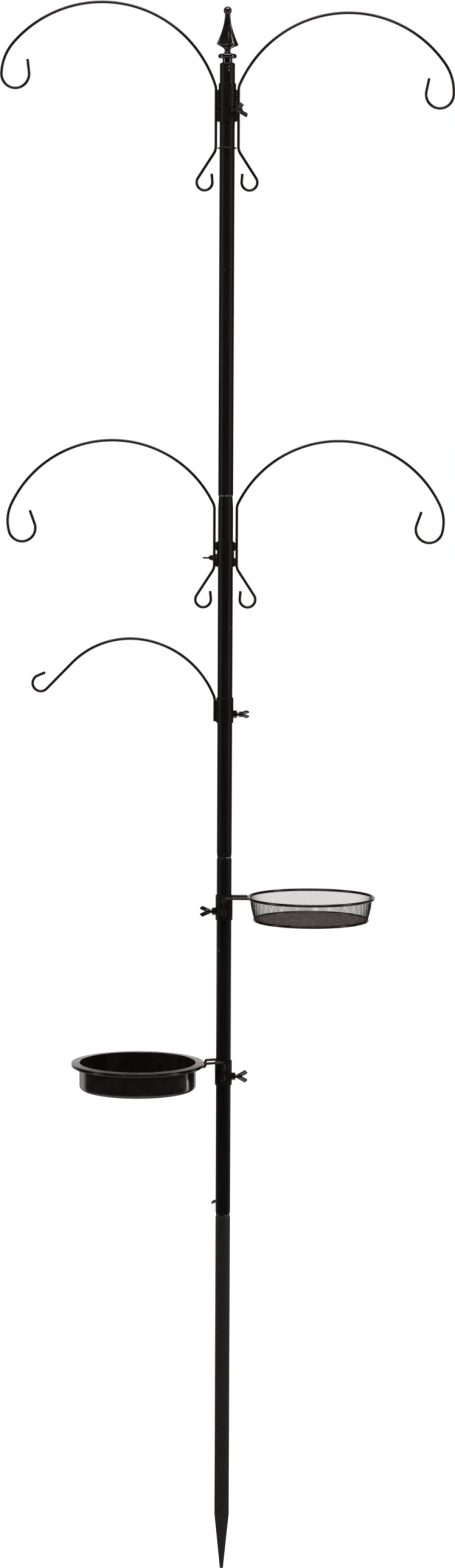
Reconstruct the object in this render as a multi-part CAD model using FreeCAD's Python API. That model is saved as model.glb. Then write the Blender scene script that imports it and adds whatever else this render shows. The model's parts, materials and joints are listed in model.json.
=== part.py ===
import FreeCAD, Part
import math
import os

# Bird feeder stand: a pointed ground stake and three pole sections that plug together, with five
# clamp-on brackets: two double hook brackets, a single hook, a mesh seed tray and a water dish.
# Millimetres and degrees. The pole's axis is X = Y = 0, the ground line is Z = 0, the tray is on +X.

# Pole sections, measured between the lines where they meet
pole_diameter = 22.0
pole_wall = 1.2
stake_length = 543.5
stake_depth = 300.0
stake_taper_length = 84.0
stake_tip_diameter = 5.0
lower_pole_length = 538.5
middle_pole_length = 533.5
upper_pole_length = 626.0
spigot_length = 52.0
spigot_clearance = 0.35
spigot_chamfer = 1.5
long_shoulder_height = 17.0
long_shoulder_rounding = 50.0
short_shoulder_height = 3.0
short_shoulder_rounding = 8.0
shoulder_step = 1.0
shoulder_edge_rounding = 0.45
pole_end_rounding = 0.8
mouth_draw = 0.7
mouth_length = 5.5
mouth_rounding = 10.0
mouth_edge_rounding = 0.3
pole_end_gap = 0.3
pole_top_rounding = 2.5
pole_top_thickness = 3.0

# Finial, from its ball down to the plug that sits in the pole's top end
finial_ball_diameter = 11.9
finial_ball_sink = 0.5
finial_stem_diameter = 8.2
finial_ridges = 4
finial_spear_height = 44.2
finial_spear_corner = 18.0
finial_spear_valley = 9.6
finial_spear_turn = 30.5
finial_spear_flare = 1.75
finial_ridge_sharpness = 2.0
finial_underside_height = 10.6
finial_underside_sweep = 1.7
finial_neck_height = 3.3
finial_neck_step = 0.3
finial_collar_diameter = 27.2
finial_collar_thickness = 6.5
finial_collar_rounding = 3.0
finial_foot_flare = 2.6
finial_foot_rounding = 4.0
finial_plug_diameter = 14.4
finial_plug_show = 6.0
finial_plug_depth = 22.0
finial_plug_clearance = 0.1
spear_stations = 7
underside_stations = 6
ridge_points = 10

# Clamp sleeves of the five brackets
sleeve_clearance = 0.3
sleeve_wall = 1.4
sleeve_chamfer = 0.4
upper_sleeve_height = 55.0
sleeve_height = 37.0
upper_sleeve_drop = 29.5
lower_sleeve_drop = 66.5
single_sleeve_rise = 200.0
tray_sleeve_rise = 445.0
dish_sleeve_rise = 197.0

# Lock nuts and wing screws
nut_sides = 6
nut_across_flats = 10.0
nut_height = 5.2
nut_sink = 1.6
nut_chamfer_angle = 30.0
screw_diameter = 5.8
screw_thread_clearance = 0.1
screw_hole_clearance = 0.4
screw_tip_gap = 0.3
screw_show = 3.2
hub_diameter = 9.2
hub_front_diameter = 6.8
hub_length = 7.0
hub_rounding = 1.0
wing_thickness = 2.2
wing_width = 6.4
wing_length = 12.0
wing_angle = 37.0
wing_root_offset = 2.4
wing_corner = 0.6
screw_rise = 12.5
upper_screw_rise = 15.7
stake_screw_rise = 17.7
upper_screw_azimuth = -43.0
lower_screw_azimuth = 145.0
single_screw_azimuth = 0.0
tray_screw_azimuth = 180.0
dish_screw_azimuth = 0.0
stake_screw_azimuth = 105.0
upper_screw_roll = 35.0
lower_screw_roll = 90.0
single_screw_roll = 60.0
tray_screw_roll = 60.0
dish_screw_roll = 33.0
stake_screw_roll = 55.0

# Bent wire of the hook arms
wire_diameter = 4.0
arm_weld_gap = 1.8
tight_weld_gap = 0.4
arm_run = 82.0
root_radius = 18.0
upper_run_drop = 8.6
upper_left_splay = 18.2
upper_right_splay = 23.8
upper_crown_radius = 172.4
upper_crown_turn = 120.1
upper_shoulder_radius = 71.2
upper_shoulder_turn = 39.4
upper_hook_radius = 20.1
upper_hook_turn = 188.6
upper_hook_tip = 19.1
lower_run_rise = 48.0
lower_splay = 26.5
lower_crown_radius = 165.0
lower_crown_turn = 127.3
lower_shoulder_radius = 59.4
lower_shoulder_turn = 41.2
lower_hook_radius = 19.7
lower_hook_turn = 184.8
lower_hook_tip = 20.4

# Small hook at the foot of each double arm
foot_bend_radius = 18.0
foot_splay = 33.0
foot_run = 42.0
foot_hook_radius = 11.4
foot_hook_turn = 218.0
foot_hook_tip = 11.5

# Single hook arm
single_run_drop = 4.0
single_run_foot = 2.0
single_splay = 22.4
single_crown_radius = 135.8
single_crown_turn = 57.8
single_outer_radius = 120.8
single_outer_turn = 55.5
single_slope = 53.3
single_hook_radius = 12.0
single_hook_turn = 203.1
single_hook_tip = 12.3

# Thin split ring that ties the two upper arms below the sleeve
stay_wire_diameter = 1.5
stay_gap = 0.1
stay_drop = 2.0
stay_arc = 335.0
stay_start = -35.0

# Mesh seed tray
tray_reach = 129.1
tray_rim_radius = 93.0
tray_rim_drop = 3.6
tray_depth = 33.0
tray_base_radius = 84.3
tray_base_wire_diameter = 3.5
mesh_thickness = 1.0
mesh_gap = 0.2
wall_cell_width = 14.5
wall_rows = 3
wall_strand = 1.7
wall_margin = 1.6
floor_cell_width = 15.0
floor_cell_length = 21.0
floor_strand = 2.2
floor_margin = 2.5

# Water dish and its holder
dish_reach = 127.9
dish_flange_radius = 98.9
dish_flange_thickness = 1.2
dish_flange_fall = 0.6
dish_wall_radius = 87.3
dish_wall = 1.0
dish_depth = 40.4
dish_corner_radius = 6.5
dish_edge_rounding = 0.5
dish_mouth_rounding = 0.9
dish_flange_drop = 3.5
dish_ring_radius = 96.9
dish_ring_gap = 0.3
dish_rod_drop = 1.2
dish_rod_sag = 4.5
joggle_radius = 2.2
joggle_turn = 75.0
joggle_clearance = 0.6

# Holder rods, common to the tray and the dish
rod_bend_radius = 4.0
rod_foot = 4.0
rod_end_gap = 0.3

# Weld beads
bead_radius = 2.4
bead_gap = 0.1
bead_pitch = 7.0
bead_pinhole = 0.5
bead_end = 1.0
spot_length = 5.0
ring_bead_radius = 2.9
ring_bead_drop = 1.0

# Sizes that follow from those above
pole_radius = pole_diameter / 2
bore_radius = pole_radius - pole_wall
spigot_radius = bore_radius - spigot_clearance
sleeve_bore = pole_radius + sleeve_clearance
sleeve_radius = sleeve_bore + sleeve_wall
wire_radius = wire_diameter / 2
arm_offset = sleeve_radius + arm_weld_gap + wire_radius
rod_offset = sleeve_radius + tight_weld_gap + wire_radius
stake_top = stake_length - stake_depth
lower_pole_top = stake_top + lower_pole_length
middle_pole_top = lower_pole_top + middle_pole_length
pole_top = middle_pole_top + upper_pole_length
upper_sleeve_foot = pole_top - upper_sleeve_drop - upper_sleeve_height
lower_sleeve_foot = middle_pole_top - lower_sleeve_drop - sleeve_height
single_sleeve_foot = lower_pole_top + single_sleeve_rise
tray_sleeve_foot = stake_top + tray_sleeve_rise
dish_sleeve_foot = stake_top + dish_sleeve_rise
upper_run_top = upper_sleeve_foot + upper_sleeve_height - upper_run_drop
lower_run_top = lower_sleeve_foot + sleeve_height + lower_run_rise
tray_rim_height = tray_sleeve_foot + sleeve_height - tray_rim_drop
dish_top = dish_sleeve_foot + sleeve_height - dish_flange_drop
dish_flange_slope = dish_flange_fall / (dish_flange_radius - dish_wall_radius)
dish_ring_seat = dish_flange_slope * (dish_ring_radius + wire_radius - dish_wall_radius)
dish_ring_height = dish_top - dish_flange_thickness - dish_ring_seat - dish_ring_gap - wire_radius
dish_rod_height = dish_sleeve_foot + sleeve_height - dish_rod_drop

Vector = FreeCAD.Vector
ORIGIN = Vector(0, 0, 0)
UP = Vector(0, 0, 1)
OUTWARD = Vector(1, 0, 0)


def save(name, shape):
    shape.exportStep(os.path.join("parts", name + ".step"))


def rounded_outline(corners):
    """Closed outline in the XZ plane through (x, z, rounding) corners, with tangent arcs where rounded."""
    count = len(corners)
    spans = []
    for index, (x, z, rounding) in enumerate(corners):
        here = Vector(x, 0, z)
        before = corners[index - 1]
        after = corners[(index + 1) % count]
        towards_before = (Vector(before[0], 0, before[1]) - here).normalize()
        towards_after = (Vector(after[0], 0, after[1]) - here).normalize()
        half_angle = towards_before.getAngle(towards_after) / 2
        setback = rounding / math.tan(half_angle)
        bisector = (towards_before + towards_after).normalize() if rounding else UP
        crown = here + bisector * (rounding / math.sin(half_angle) - rounding)
        spans.append((here + towards_before * setback, crown, here + towards_after * setback, rounding))
    edges = []
    for index, (start, crown, end, rounding) in enumerate(spans):
        if rounding:
            edges.append(Part.Arc(start, crown, end).toShape())
        edges.append(Part.LineSegment(end, spans[(index + 1) % count][0]).toShape())
    return Part.Wire(edges)


def turned(corners):
    """Solid of revolution about the Z axis from rounded corners."""
    return Part.Face(rounded_outline(corners)).revolve(ORIGIN, UP, 360)


def bent_path(start, heading, steps, side, depth):
    """Runs and bends laid end to end in a plane parallel to XZ: a step is a length or a (radius, turn)."""
    edges = []
    u, v = start
    angle = math.radians(heading)
    for step in steps:
        begin = Vector(side * u, depth, v)
        if isinstance(step, tuple):
            radius, turn = step
            sweep = math.copysign(radius, turn)
            centre_u = u - sweep * math.sin(angle)
            centre_v = v + sweep * math.cos(angle)
            halfway = angle + math.radians(turn) / 2
            angle += math.radians(turn)
            middle = Vector(side * (centre_u + sweep * math.sin(halfway)), depth,
                            centre_v - sweep * math.cos(halfway))
            u = centre_u + sweep * math.sin(angle)
            v = centre_v - sweep * math.cos(angle)
            edges.append(Part.Arc(begin, middle, Vector(side * u, depth, v)).toShape())
        else:
            u += step * math.cos(angle)
            v += step * math.sin(angle)
            edges.append(Part.LineSegment(begin, Vector(side * u, depth, v)).toShape())
    end = Vector(side * u, depth, v)
    direction = Vector(side * math.cos(angle), 0, math.sin(angle))
    return edges, end, direction


def round_wire(edges, end, direction):
    """Round wire swept along joined edges, with its section drawn at one end."""
    path = Part.Wire(Part.sortEdges(edges)[0])
    section = Part.Wire([Part.makeCircle(wire_radius, end, direction)])
    return path.makePipeShell([section], True, False)


def swaged_profile(length, foot, shoulder, rounding):
    """Corners of a tube section with a swaged neck and spigot on top; foot holds its lower corners."""
    neck_radius = pole_radius - shoulder_step
    inner_neck = spigot_radius - pole_wall
    return foot + [
        (pole_radius, length - shoulder, rounding),
        (neck_radius, length, shoulder_edge_rounding),
        (spigot_radius, length, 0),
        (spigot_radius, length + spigot_length - spigot_chamfer, 0),
        (spigot_radius - spigot_chamfer / 2, length + spigot_length, 0),
        (inner_neck, length + spigot_length, 0),
        (inner_neck, length, 0),
        (bore_radius, length - shoulder, 0),
    ]


def plain_foot():
    """Square-cut lower end of the top section, which slips over the spigot below it."""
    return [(bore_radius, pole_end_gap, 0), (pole_radius, pole_end_gap, pole_end_rounding)]


def drawn_foot():
    """Lower end of a section drawn in a little where it meets the shoulder below it."""
    return [
        (bore_radius, pole_end_gap, 0),
        (pole_radius - mouth_draw, pole_end_gap, mouth_edge_rounding),
        (pole_radius, pole_end_gap + mouth_length, mouth_rounding),
    ]


def stake():
    point = [(stake_tip_diameter / 2, 0, 0), (pole_radius, stake_taper_length, 0)]
    corners = [(0, stake_taper_length, 0), (0, 0, 0)]
    corners += swaged_profile(stake_length, point, short_shoulder_height, short_shoulder_rounding)
    corners += [(bore_radius, stake_taper_length, 0)]
    tube = turned(corners)
    tube.translate(Vector(0, 0, -stake_depth))
    return tube


def pole_section(length, foot_height, shoulder, rounding):
    tube = turned(swaged_profile(length, drawn_foot(), shoulder, rounding))
    tube.translate(Vector(0, 0, foot_height))
    return tube


def top_section():
    mouth = finial_plug_diameter / 2 + finial_plug_clearance
    tube = turned(plain_foot() + [
        (pole_radius, upper_pole_length, pole_top_rounding),
        (mouth, upper_pole_length, 0),
        (mouth, upper_pole_length - pole_top_thickness, 0),
        (bore_radius, upper_pole_length - pole_top_thickness, 0),
    ])
    tube.translate(Vector(0, 0, middle_pole_top))
    return tube


def spear_section(ridge, valley, height):
    """Smooth closed outline with rounded ridges and a hollow face between each two."""
    points = []
    for index in range(ridge_points * finial_ridges):
        phase = 2 * math.pi * index / ridge_points
        share = ((1 + math.cos(phase)) / 2) ** finial_ridge_sharpness
        radius = valley + (ridge - valley) * share
        angle = math.radians(finial_spear_turn) + phase / finial_ridges
        points.append(Vector(radius * math.cos(angle), radius * math.sin(angle), height))
    outline = Part.BSplineCurve()
    outline.interpolate(Points=points, PeriodicFlag=True)
    return Part.Wire([outline.toShape()])


def finial():
    collar_foot = pole_top + finial_plug_show
    collar_top = collar_foot + finial_collar_thickness
    neck_top = collar_top + finial_neck_height
    spear_foot = neck_top + finial_underside_height
    spear_top = spear_foot + finial_spear_height
    stem_radius = finial_stem_diameter / 2
    ball_radius = finial_ball_diameter / 2
    collar_radius = finial_collar_diameter / 2
    plug_radius = finial_plug_diameter / 2

    base_radius = stem_radius + finial_neck_step
    flare = []
    for station in range(underside_stations + 1):
        rise = station / underside_stations
        spread = math.sin(math.pi / 2 * rise ** finial_underside_sweep) ** 2
        ridge = base_radius + (finial_spear_corner - base_radius) * spread
        valley = base_radius + (finial_spear_valley - base_radius) * spread
        flare.append(spear_section(ridge, valley, neck_top + finial_underside_height * rise))
    point = []
    for station in range(spear_stations):
        rise = station / (spear_stations - 1)
        spread = (1 - rise) ** finial_spear_flare
        ridge = stem_radius + (finial_spear_corner - stem_radius) * spread
        valley = stem_radius + (finial_spear_valley - stem_radius) * spread
        point.append(spear_section(ridge, valley, spear_foot + finial_spear_height * rise))
    spear = Part.makeLoft(flare, True, False).fuse(Part.makeLoft(point, True, False))

    ball_centre = spear_top + math.sqrt(ball_radius ** 2 - stem_radius ** 2) - finial_ball_sink
    ball = Part.makeSphere(ball_radius, Vector(0, 0, ball_centre))
    base = turned([
        (0, pole_top - finial_plug_depth, 0),
        (plug_radius, pole_top - finial_plug_depth, 0),
        (plug_radius, collar_foot, 0),
        (collar_radius, collar_foot, finial_collar_rounding),
        (collar_radius, collar_top, finial_collar_rounding),
        (stem_radius + finial_foot_flare, collar_top, 0),
        (stem_radius, collar_top + finial_foot_flare, finial_foot_rounding),
        (stem_radius, spear_foot, 0),
        (0, spear_foot, 0),
    ])
    return base.fuse(spear).fuse(ball).removeSplitter()


def screw_hole(host_radius, height, azimuth):
    """Radial hole in a sleeve or a pole wall for its lock screw."""
    hole = Part.makeCylinder(screw_diameter / 2 + screw_hole_clearance, host_radius * 2, ORIGIN, OUTWARD)
    return aimed(hole, height, azimuth)


def aimed(shape, height, azimuth):
    """Turn a radial fitting about the pole and lift it to its height."""
    shape.rotate(ORIGIN, UP, azimuth)
    shape.translate(Vector(0, 0, height))
    return shape


def lock_nut(host_radius, height, azimuth):
    """Hexagon nut with its seat hollowed to lie on a round sleeve."""
    corner = nut_across_flats / math.sqrt(3)
    front = host_radius + nut_height
    back = host_radius - nut_sink
    points = []
    for index in range(nut_sides + 1):
        angle = 2 * math.pi * index / nut_sides
        points.append(Vector(back, corner * math.sin(angle), corner * math.cos(angle)))
    prism = Part.Face(Part.makePolygon(points)).extrude(Vector(front - back, 0, 0))
    chamfer = (corner - nut_across_flats / 2) * math.tan(math.radians(nut_chamfer_angle))
    blank = Part.makePolygon([
        Vector(back, 0, 0), Vector(back, 0, corner), Vector(front - chamfer, 0, corner),
        Vector(front, 0, nut_across_flats / 2), Vector(front, 0, 0), Vector(back, 0, 0)])
    nut = prism.common(Part.Face(blank).revolve(ORIGIN, OUTWARD, 360))
    bore = Part.makeCylinder(screw_diameter / 2 + screw_thread_clearance, front * 2, ORIGIN, OUTWARD)
    host = Part.makeCylinder(host_radius, front * 2, Vector(0, 0, -front))
    return aimed(nut.cut(bore).cut(host), height, azimuth)


def wing(hub_foot):
    """One flat wing of a screw, leaning out from the hub, before it is mirrored."""
    half_width = wing_width / 2
    blade = Part.Face(rounded_outline([
        (0, -half_width, 0),
        (wing_length, -half_width, wing_corner),
        (wing_length, half_width, wing_corner),
        (0, half_width, 0),
    ])).extrude(Vector(0, wing_thickness, 0))
    blade.translate(Vector(0, -wing_thickness / 2, 0))
    blade.rotate(ORIGIN, Vector(0, 1, 0), -wing_angle)
    blade.translate(Vector(hub_foot + hub_length / 2, 0, wing_root_offset))
    return blade


def wing_screw(host_radius, stop_radius, height, azimuth, roll):
    """Lock screw along +X from just off the pole it presses on, with a round hub and two wings."""
    tip = stop_radius + screw_tip_gap
    hub_foot = host_radius + nut_height + screw_show
    hub_front = hub_foot + hub_length
    shank = Part.makeCylinder(screw_diameter / 2, hub_foot + hub_rounding - tip, Vector(tip, 0, 0), OUTWARD)
    hub = turned([
        (0, hub_foot, 0),
        (hub_diameter / 2, hub_foot, hub_rounding),
        (hub_front_diameter / 2, hub_front, hub_rounding),
        (0, hub_front, 0),
    ])
    hub.rotate(ORIGIN, Vector(0, 1, 0), 90)
    first = wing(hub_foot)
    second = first.copy()
    second.rotate(ORIGIN, OUTWARD, 180)
    screw = shank.fuse([hub, first, second]).removeSplitter()
    screw.rotate(ORIGIN, OUTWARD, roll)
    return aimed(screw, height, azimuth)


def clamp_sleeve(foot, tall, screw_height, azimuth):
    sleeve = turned([
        (sleeve_bore, foot, 0),
        (sleeve_radius - sleeve_chamfer, foot, 0),
        (sleeve_radius, foot + sleeve_chamfer, 0),
        (sleeve_radius, foot + tall - sleeve_chamfer, 0),
        (sleeve_radius - sleeve_chamfer, foot + tall, 0),
        (sleeve_bore, foot + tall, 0),
    ])
    return sleeve.cut(screw_hole(sleeve_radius, screw_height, azimuth))


def clamp(name, foot, tall, rise, azimuth, roll):
    """Sleeve, lock nut and wing screw of one bracket."""
    height = foot + rise
    save(name + "_bracket_sleeve", clamp_sleeve(foot, tall, height, azimuth))
    save(name + "_lock_nut", lock_nut(sleeve_radius, height, azimuth))
    save(name + "_wing_screw", wing_screw(sleeve_radius, pole_radius, height, azimuth, roll))


def double_arm(side, run_top, splay, crown, shoulder, hook, tip):
    """One wire of a double bracket: small foot hook, straight run, arch and end hook."""
    foot = run_top - arm_run
    down, low_end, low_direction = bent_path((-arm_offset, foot), -90, [
        (foot_bend_radius, -foot_splay), foot_run, (foot_hook_radius, foot_hook_turn), foot_hook_tip,
    ], side, 0)
    up, _, _ = bent_path((-arm_offset, foot), 90, [
        arm_run, (root_radius, splay), crown, shoulder, hook, tip,
    ], side, 0)
    return round_wire(down + up, low_end, low_direction)


def upper_arm(side, splay):
    return double_arm(side, upper_run_top, splay, (upper_crown_radius, upper_crown_turn),
                      (upper_shoulder_radius, upper_shoulder_turn),
                      (upper_hook_radius, upper_hook_turn), upper_hook_tip)


def lower_arm(side):
    return double_arm(side, lower_run_top, lower_splay, (lower_crown_radius, lower_crown_turn),
                      (lower_shoulder_radius, lower_shoulder_turn),
                      (lower_hook_radius, lower_hook_turn), lower_hook_tip)


def single_arm():
    run_foot = single_sleeve_foot + single_run_foot
    run = sleeve_height - single_run_drop - single_run_foot
    up, end, direction = bent_path((-rod_offset, run_foot), 90, [
        run, (root_radius, single_splay), (single_crown_radius, single_crown_turn),
        (single_outer_radius, single_outer_turn), single_slope,
        (single_hook_radius, -single_hook_turn), single_hook_tip,
    ], 1, 0)
    return round_wire(up, end, direction)


def arm_welds(spans):
    """Stitches along both wires of a double bracket."""
    return weld_stitches(180, arm_offset, spans) + weld_stitches(0, arm_offset, spans)


def stay_ring():
    """Thin split ring lying between the two upper arms, just above their foot hooks."""
    thin = stay_wire_diameter / 2
    height = upper_run_top - arm_run - stay_drop
    ring = Part.makeTorus(arm_offset - wire_radius - thin - stay_gap, thin, ORIGIN, UP, 0, 360, stay_arc)
    ring.rotate(ORIGIN, UP, stay_start)
    ring.translate(Vector(0, 0, height))
    return ring


def weld_stitches(azimuth, offset, spans):
    """Weld metal in the gap between a sleeve and the wire along it, one stitch to each span of height."""
    middle = (sleeve_radius + offset - wire_radius) / 2
    stitches = []
    for low, high in spans:
        stitch = Part.makeCylinder(bead_radius, high - low, Vector(middle, 0, low))
        host = Part.makeCylinder(sleeve_radius + bead_gap, high - low, Vector(0, 0, low))
        wire = Part.makeCylinder(wire_radius + bead_gap, high - low, Vector(offset, 0, low))
        stitches.append(aimed(stitch.cut([host, wire]), 0, azimuth))
    return stitches


def weld_row(low, high):
    """Spans of a row of stitches with a pinhole between neighbours."""
    count = max(1, int(round((high - low) / bead_pitch)))
    pitch = (high - low) / count
    return [(low + pitch * index, low + pitch * (index + 1) - bead_pinhole) for index in range(count)]


def weld_spots(low, high):
    """Spans of two short stitches, one at each end of a wire's seat."""
    return [(low, low + spot_length), (high - spot_length, high)]


def rod_end(reach, radius):
    """How far out from the pole a rod's inner flank meets a circle round the tray's or the dish's middle."""
    return reach - math.sqrt(radius ** 2 - (rod_offset - wire_radius) ** 2)


def level_run(end):
    """Bend and run of a rod that goes out level to its ring."""
    return [(rod_bend_radius, -90), end - rod_bend_radius]


def stepped_run(end, drop, edge):
    """Bends and runs of a rod that falls a little on its way out and steps down past an edge to its ring."""
    sag = math.radians(dish_rod_sag)
    turn = math.radians(joggle_turn)
    across = edge - joggle_clearance - rod_bend_radius * (1 + math.sin(sag))
    across -= joggle_radius * (2 * math.sin(turn) - math.sin(sag))
    down = drop - rod_bend_radius * (1 - math.cos(sag))
    down -= joggle_radius * (1 + math.cos(sag) - 2 * math.cos(turn))
    run = (across * math.sin(turn) - down * math.cos(turn)) / math.sin(turn - sag)
    slope = (down * math.cos(sag) - across * math.sin(sag)) / math.sin(turn - sag)
    return [(rod_bend_radius, -90 - dish_rod_sag), run, (joggle_radius, dish_rod_sag - joggle_turn), slope,
            (joggle_radius, joggle_turn), end - edge + joggle_clearance]


def ring_bead(end, direction, ring):
    """Weld bump under the place where a rod meets its ring."""
    bead = Part.makeSphere(ring_bead_radius, end - UP * ring_bead_drop)
    tip = end + direction * bead_gap
    rod = Part.makeCylinder(wire_radius + bead_gap, ring_bead_radius * 2, tip, -direction)
    return bead.cut([rod, ring])


def wire_ring(reach, height, radius, diameter):
    return Part.makeTorus(radius, diameter / 2, Vector(reach, 0, height))


def mesh_opening(cell_length, cell_width, strand):
    """Half-diagonals of the diamond left open between the strands of an expanded mesh."""
    inradius = cell_length * cell_width / (2 * math.hypot(cell_length, cell_width))
    share = 1 - strand / 2 / inradius
    return cell_length / 2 * share, cell_width / 2 * share


def mesh_floor(height):
    """Flat round of expanded mesh: one face with staggered diamond openings, given its thickness."""
    radius = tray_base_radius - tray_base_wire_diameter / 2 - mesh_gap
    half_length, half_width = mesh_opening(floor_cell_length, floor_cell_width, floor_strand)
    wires = [Part.Wire([Part.makeCircle(radius, Vector(tray_reach, 0, height))])]
    rows = int(radius / floor_cell_width) * 2 + 1
    columns = int(radius / floor_cell_length) + 1
    for row in range(-rows, rows + 1):
        for column in range(-columns, columns + 1):
            x = floor_cell_length * (column + (row % 2) / 2)
            y = floor_cell_width * row / 2
            reach = max(math.hypot(abs(x) + half_length, y), math.hypot(x, abs(y) + half_width))
            if reach > radius - floor_margin:
                continue
            corners = [(half_length, 0), (0, half_width), (-half_length, 0), (0, -half_width)]
            points = [Vector(tray_reach + x + dx, y + dy, height) for dx, dy in corners]
            wires.append(Part.makePolygon(points + points[:1]))
    face = Part.makeFace(wires, "Part::FaceMakerBullseye")
    return face.extrude(Vector(0, 0, mesh_thickness))


def mesh_wall(foot, top):
    """Tapered mesh wall with staggered diamond openings all round."""
    foot_radius = tray_base_radius + mesh_thickness / 2
    top_radius = tray_rim_radius - wire_radius - mesh_gap
    shell = turned([
        (foot_radius - mesh_thickness, foot, 0),
        (foot_radius, foot, 0),
        (top_radius, top, 0),
        (top_radius - mesh_thickness, top, 0),
    ])
    columns = int(round(2 * math.pi * foot_radius / wall_cell_width))
    cell_height = (top - foot - 2 * wall_margin) / (wall_rows + 1) * 2
    half_width, half_height = mesh_opening(2 * math.pi * foot_radius / columns, cell_height, wall_strand)
    inside = foot_radius - mesh_thickness * 2
    cutters = []
    for row in range(wall_rows):
        middle = foot + wall_margin + cell_height / 2 * (row + 1)
        corners = [(half_width, 0), (0, half_height), (-half_width, 0), (0, -half_height)]
        points = [Vector(inside, dy, middle + dz) for dy, dz in corners]
        diamond = Part.Face(Part.makePolygon(points + points[:1]))
        for column in range(columns):
            cutter = diamond.extrude(Vector(top_radius - inside + mesh_thickness, 0, 0))
            cutter.rotate(ORIGIN, UP, 360 / columns * (column + row % 2 / 2))
            cutters.append(cutter)
    wall = shell.cut(Part.makeCompound(cutters))
    wall.translate(Vector(tray_reach, 0, 0))
    return wall


def water_dish():
    """Round dish with a broad flange that falls outward, a rounded mouth and a rounded base corner."""
    foot = dish_top - dish_depth
    under_flange = dish_top - dish_flange_thickness
    edge = dish_top - dish_flange_fall
    inner = dish_wall_radius - dish_wall
    dish = turned([
        (0, foot, 0),
        (dish_wall_radius, foot, dish_corner_radius),
        (dish_wall_radius, under_flange, dish_edge_rounding),
        (dish_flange_radius, edge - dish_flange_thickness, dish_edge_rounding),
        (dish_flange_radius, edge, dish_edge_rounding),
        (inner, dish_top, dish_mouth_rounding),
        (inner, foot + dish_wall, dish_corner_radius - dish_wall),
        (0, foot + dish_wall, 0),
    ])
    dish.translate(Vector(-dish_reach, 0, 0))
    return dish


def build_pole():
    save("ground_stake", stake())
    lock_height = stake_top + stake_screw_rise
    lower = pole_section(lower_pole_length, stake_top, short_shoulder_height, short_shoulder_rounding)
    save("lower_pole", lower.cut(screw_hole(pole_radius, lock_height, stake_screw_azimuth)))
    save("middle_pole", pole_section(middle_pole_length, lower_pole_top, long_shoulder_height,
                                     long_shoulder_rounding))
    save("upper_pole", top_section())
    save("finial", finial())
    save("stake_lock_nut", lock_nut(pole_radius, lock_height, stake_screw_azimuth))
    save("stake_wing_screw", wing_screw(pole_radius, spigot_radius, lock_height, stake_screw_azimuth,
                                        stake_screw_roll))


def build_upper_bracket():
    clamp("upper", upper_sleeve_foot, upper_sleeve_height, upper_screw_rise, upper_screw_azimuth,
          upper_screw_roll)
    save("upper_left_arm", upper_arm(1, upper_left_splay))
    save("upper_right_arm", upper_arm(-1, upper_right_splay))
    save("upper_stay_ring", stay_ring())
    spans = weld_row(upper_sleeve_foot + bead_end, upper_run_top)
    save("upper_weld_beads", Part.makeCompound(arm_welds(spans)))


def build_lower_bracket():
    clamp("lower", lower_sleeve_foot, sleeve_height, screw_rise, lower_screw_azimuth, lower_screw_roll)
    save("lower_left_arm", lower_arm(1))
    save("lower_right_arm", lower_arm(-1))
    spans = weld_row(lower_sleeve_foot + bead_end, lower_sleeve_foot + sleeve_height - bead_end)
    save("lower_weld_beads", Part.makeCompound(arm_welds(spans)))


def build_single_bracket():
    clamp("single", single_sleeve_foot, sleeve_height, screw_rise, single_screw_azimuth, single_screw_roll)
    save("single_arm", single_arm())
    run_top = single_sleeve_foot + sleeve_height - single_run_drop
    spans = weld_row(single_sleeve_foot + single_run_foot, run_top)
    save("single_weld_beads", Part.makeCompound(weld_stitches(180, rod_offset, spans)))


def build_holder(name, side, foot, height, ring_height, ring_reach, ring_radius, run):
    """The two rods, front and rear, that carry a ring from a sleeve, and the beads that weld them."""
    beads = []
    spans = weld_spots(foot + rod_foot, height - rod_bend_radius)
    fat_ring = wire_ring(side * ring_reach, ring_height, ring_radius, wire_diameter + bead_gap * 2)
    upright = height - rod_bend_radius - foot - rod_foot
    for place, sense in (("front", -1), ("rear", 1)):
        edges, end, direction = bent_path((0, foot + rod_foot), 90, [upright] + run, side, sense * rod_offset)
        save(name + "_" + place + "_rod", round_wire(edges, end, direction))
        beads += weld_stitches(90 * sense, rod_offset, spans)
        beads.append(ring_bead(end, direction, fat_ring))
    save(name + "_weld_beads", Part.makeCompound(beads))


def build_tray():
    clamp("tray", tray_sleeve_foot, sleeve_height, screw_rise, tray_screw_azimuth, tray_screw_roll)
    base_height = tray_rim_height - tray_depth
    save("tray_rim_ring", wire_ring(tray_reach, tray_rim_height, tray_rim_radius, wire_diameter))
    save("tray_base_ring", wire_ring(tray_reach, base_height, tray_base_radius, tray_base_wire_diameter))
    save("tray_mesh_floor", mesh_floor(base_height - mesh_thickness / 2))
    wall_foot = base_height + tray_base_wire_diameter / 2 + mesh_gap
    save("tray_mesh_wall", mesh_wall(wall_foot, tray_rim_height))
    end = rod_end(tray_reach, tray_rim_radius + wire_radius) - rod_end_gap
    build_holder("tray", 1, tray_sleeve_foot, tray_rim_height, tray_rim_height, tray_reach, tray_rim_radius,
                 level_run(end))


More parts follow.
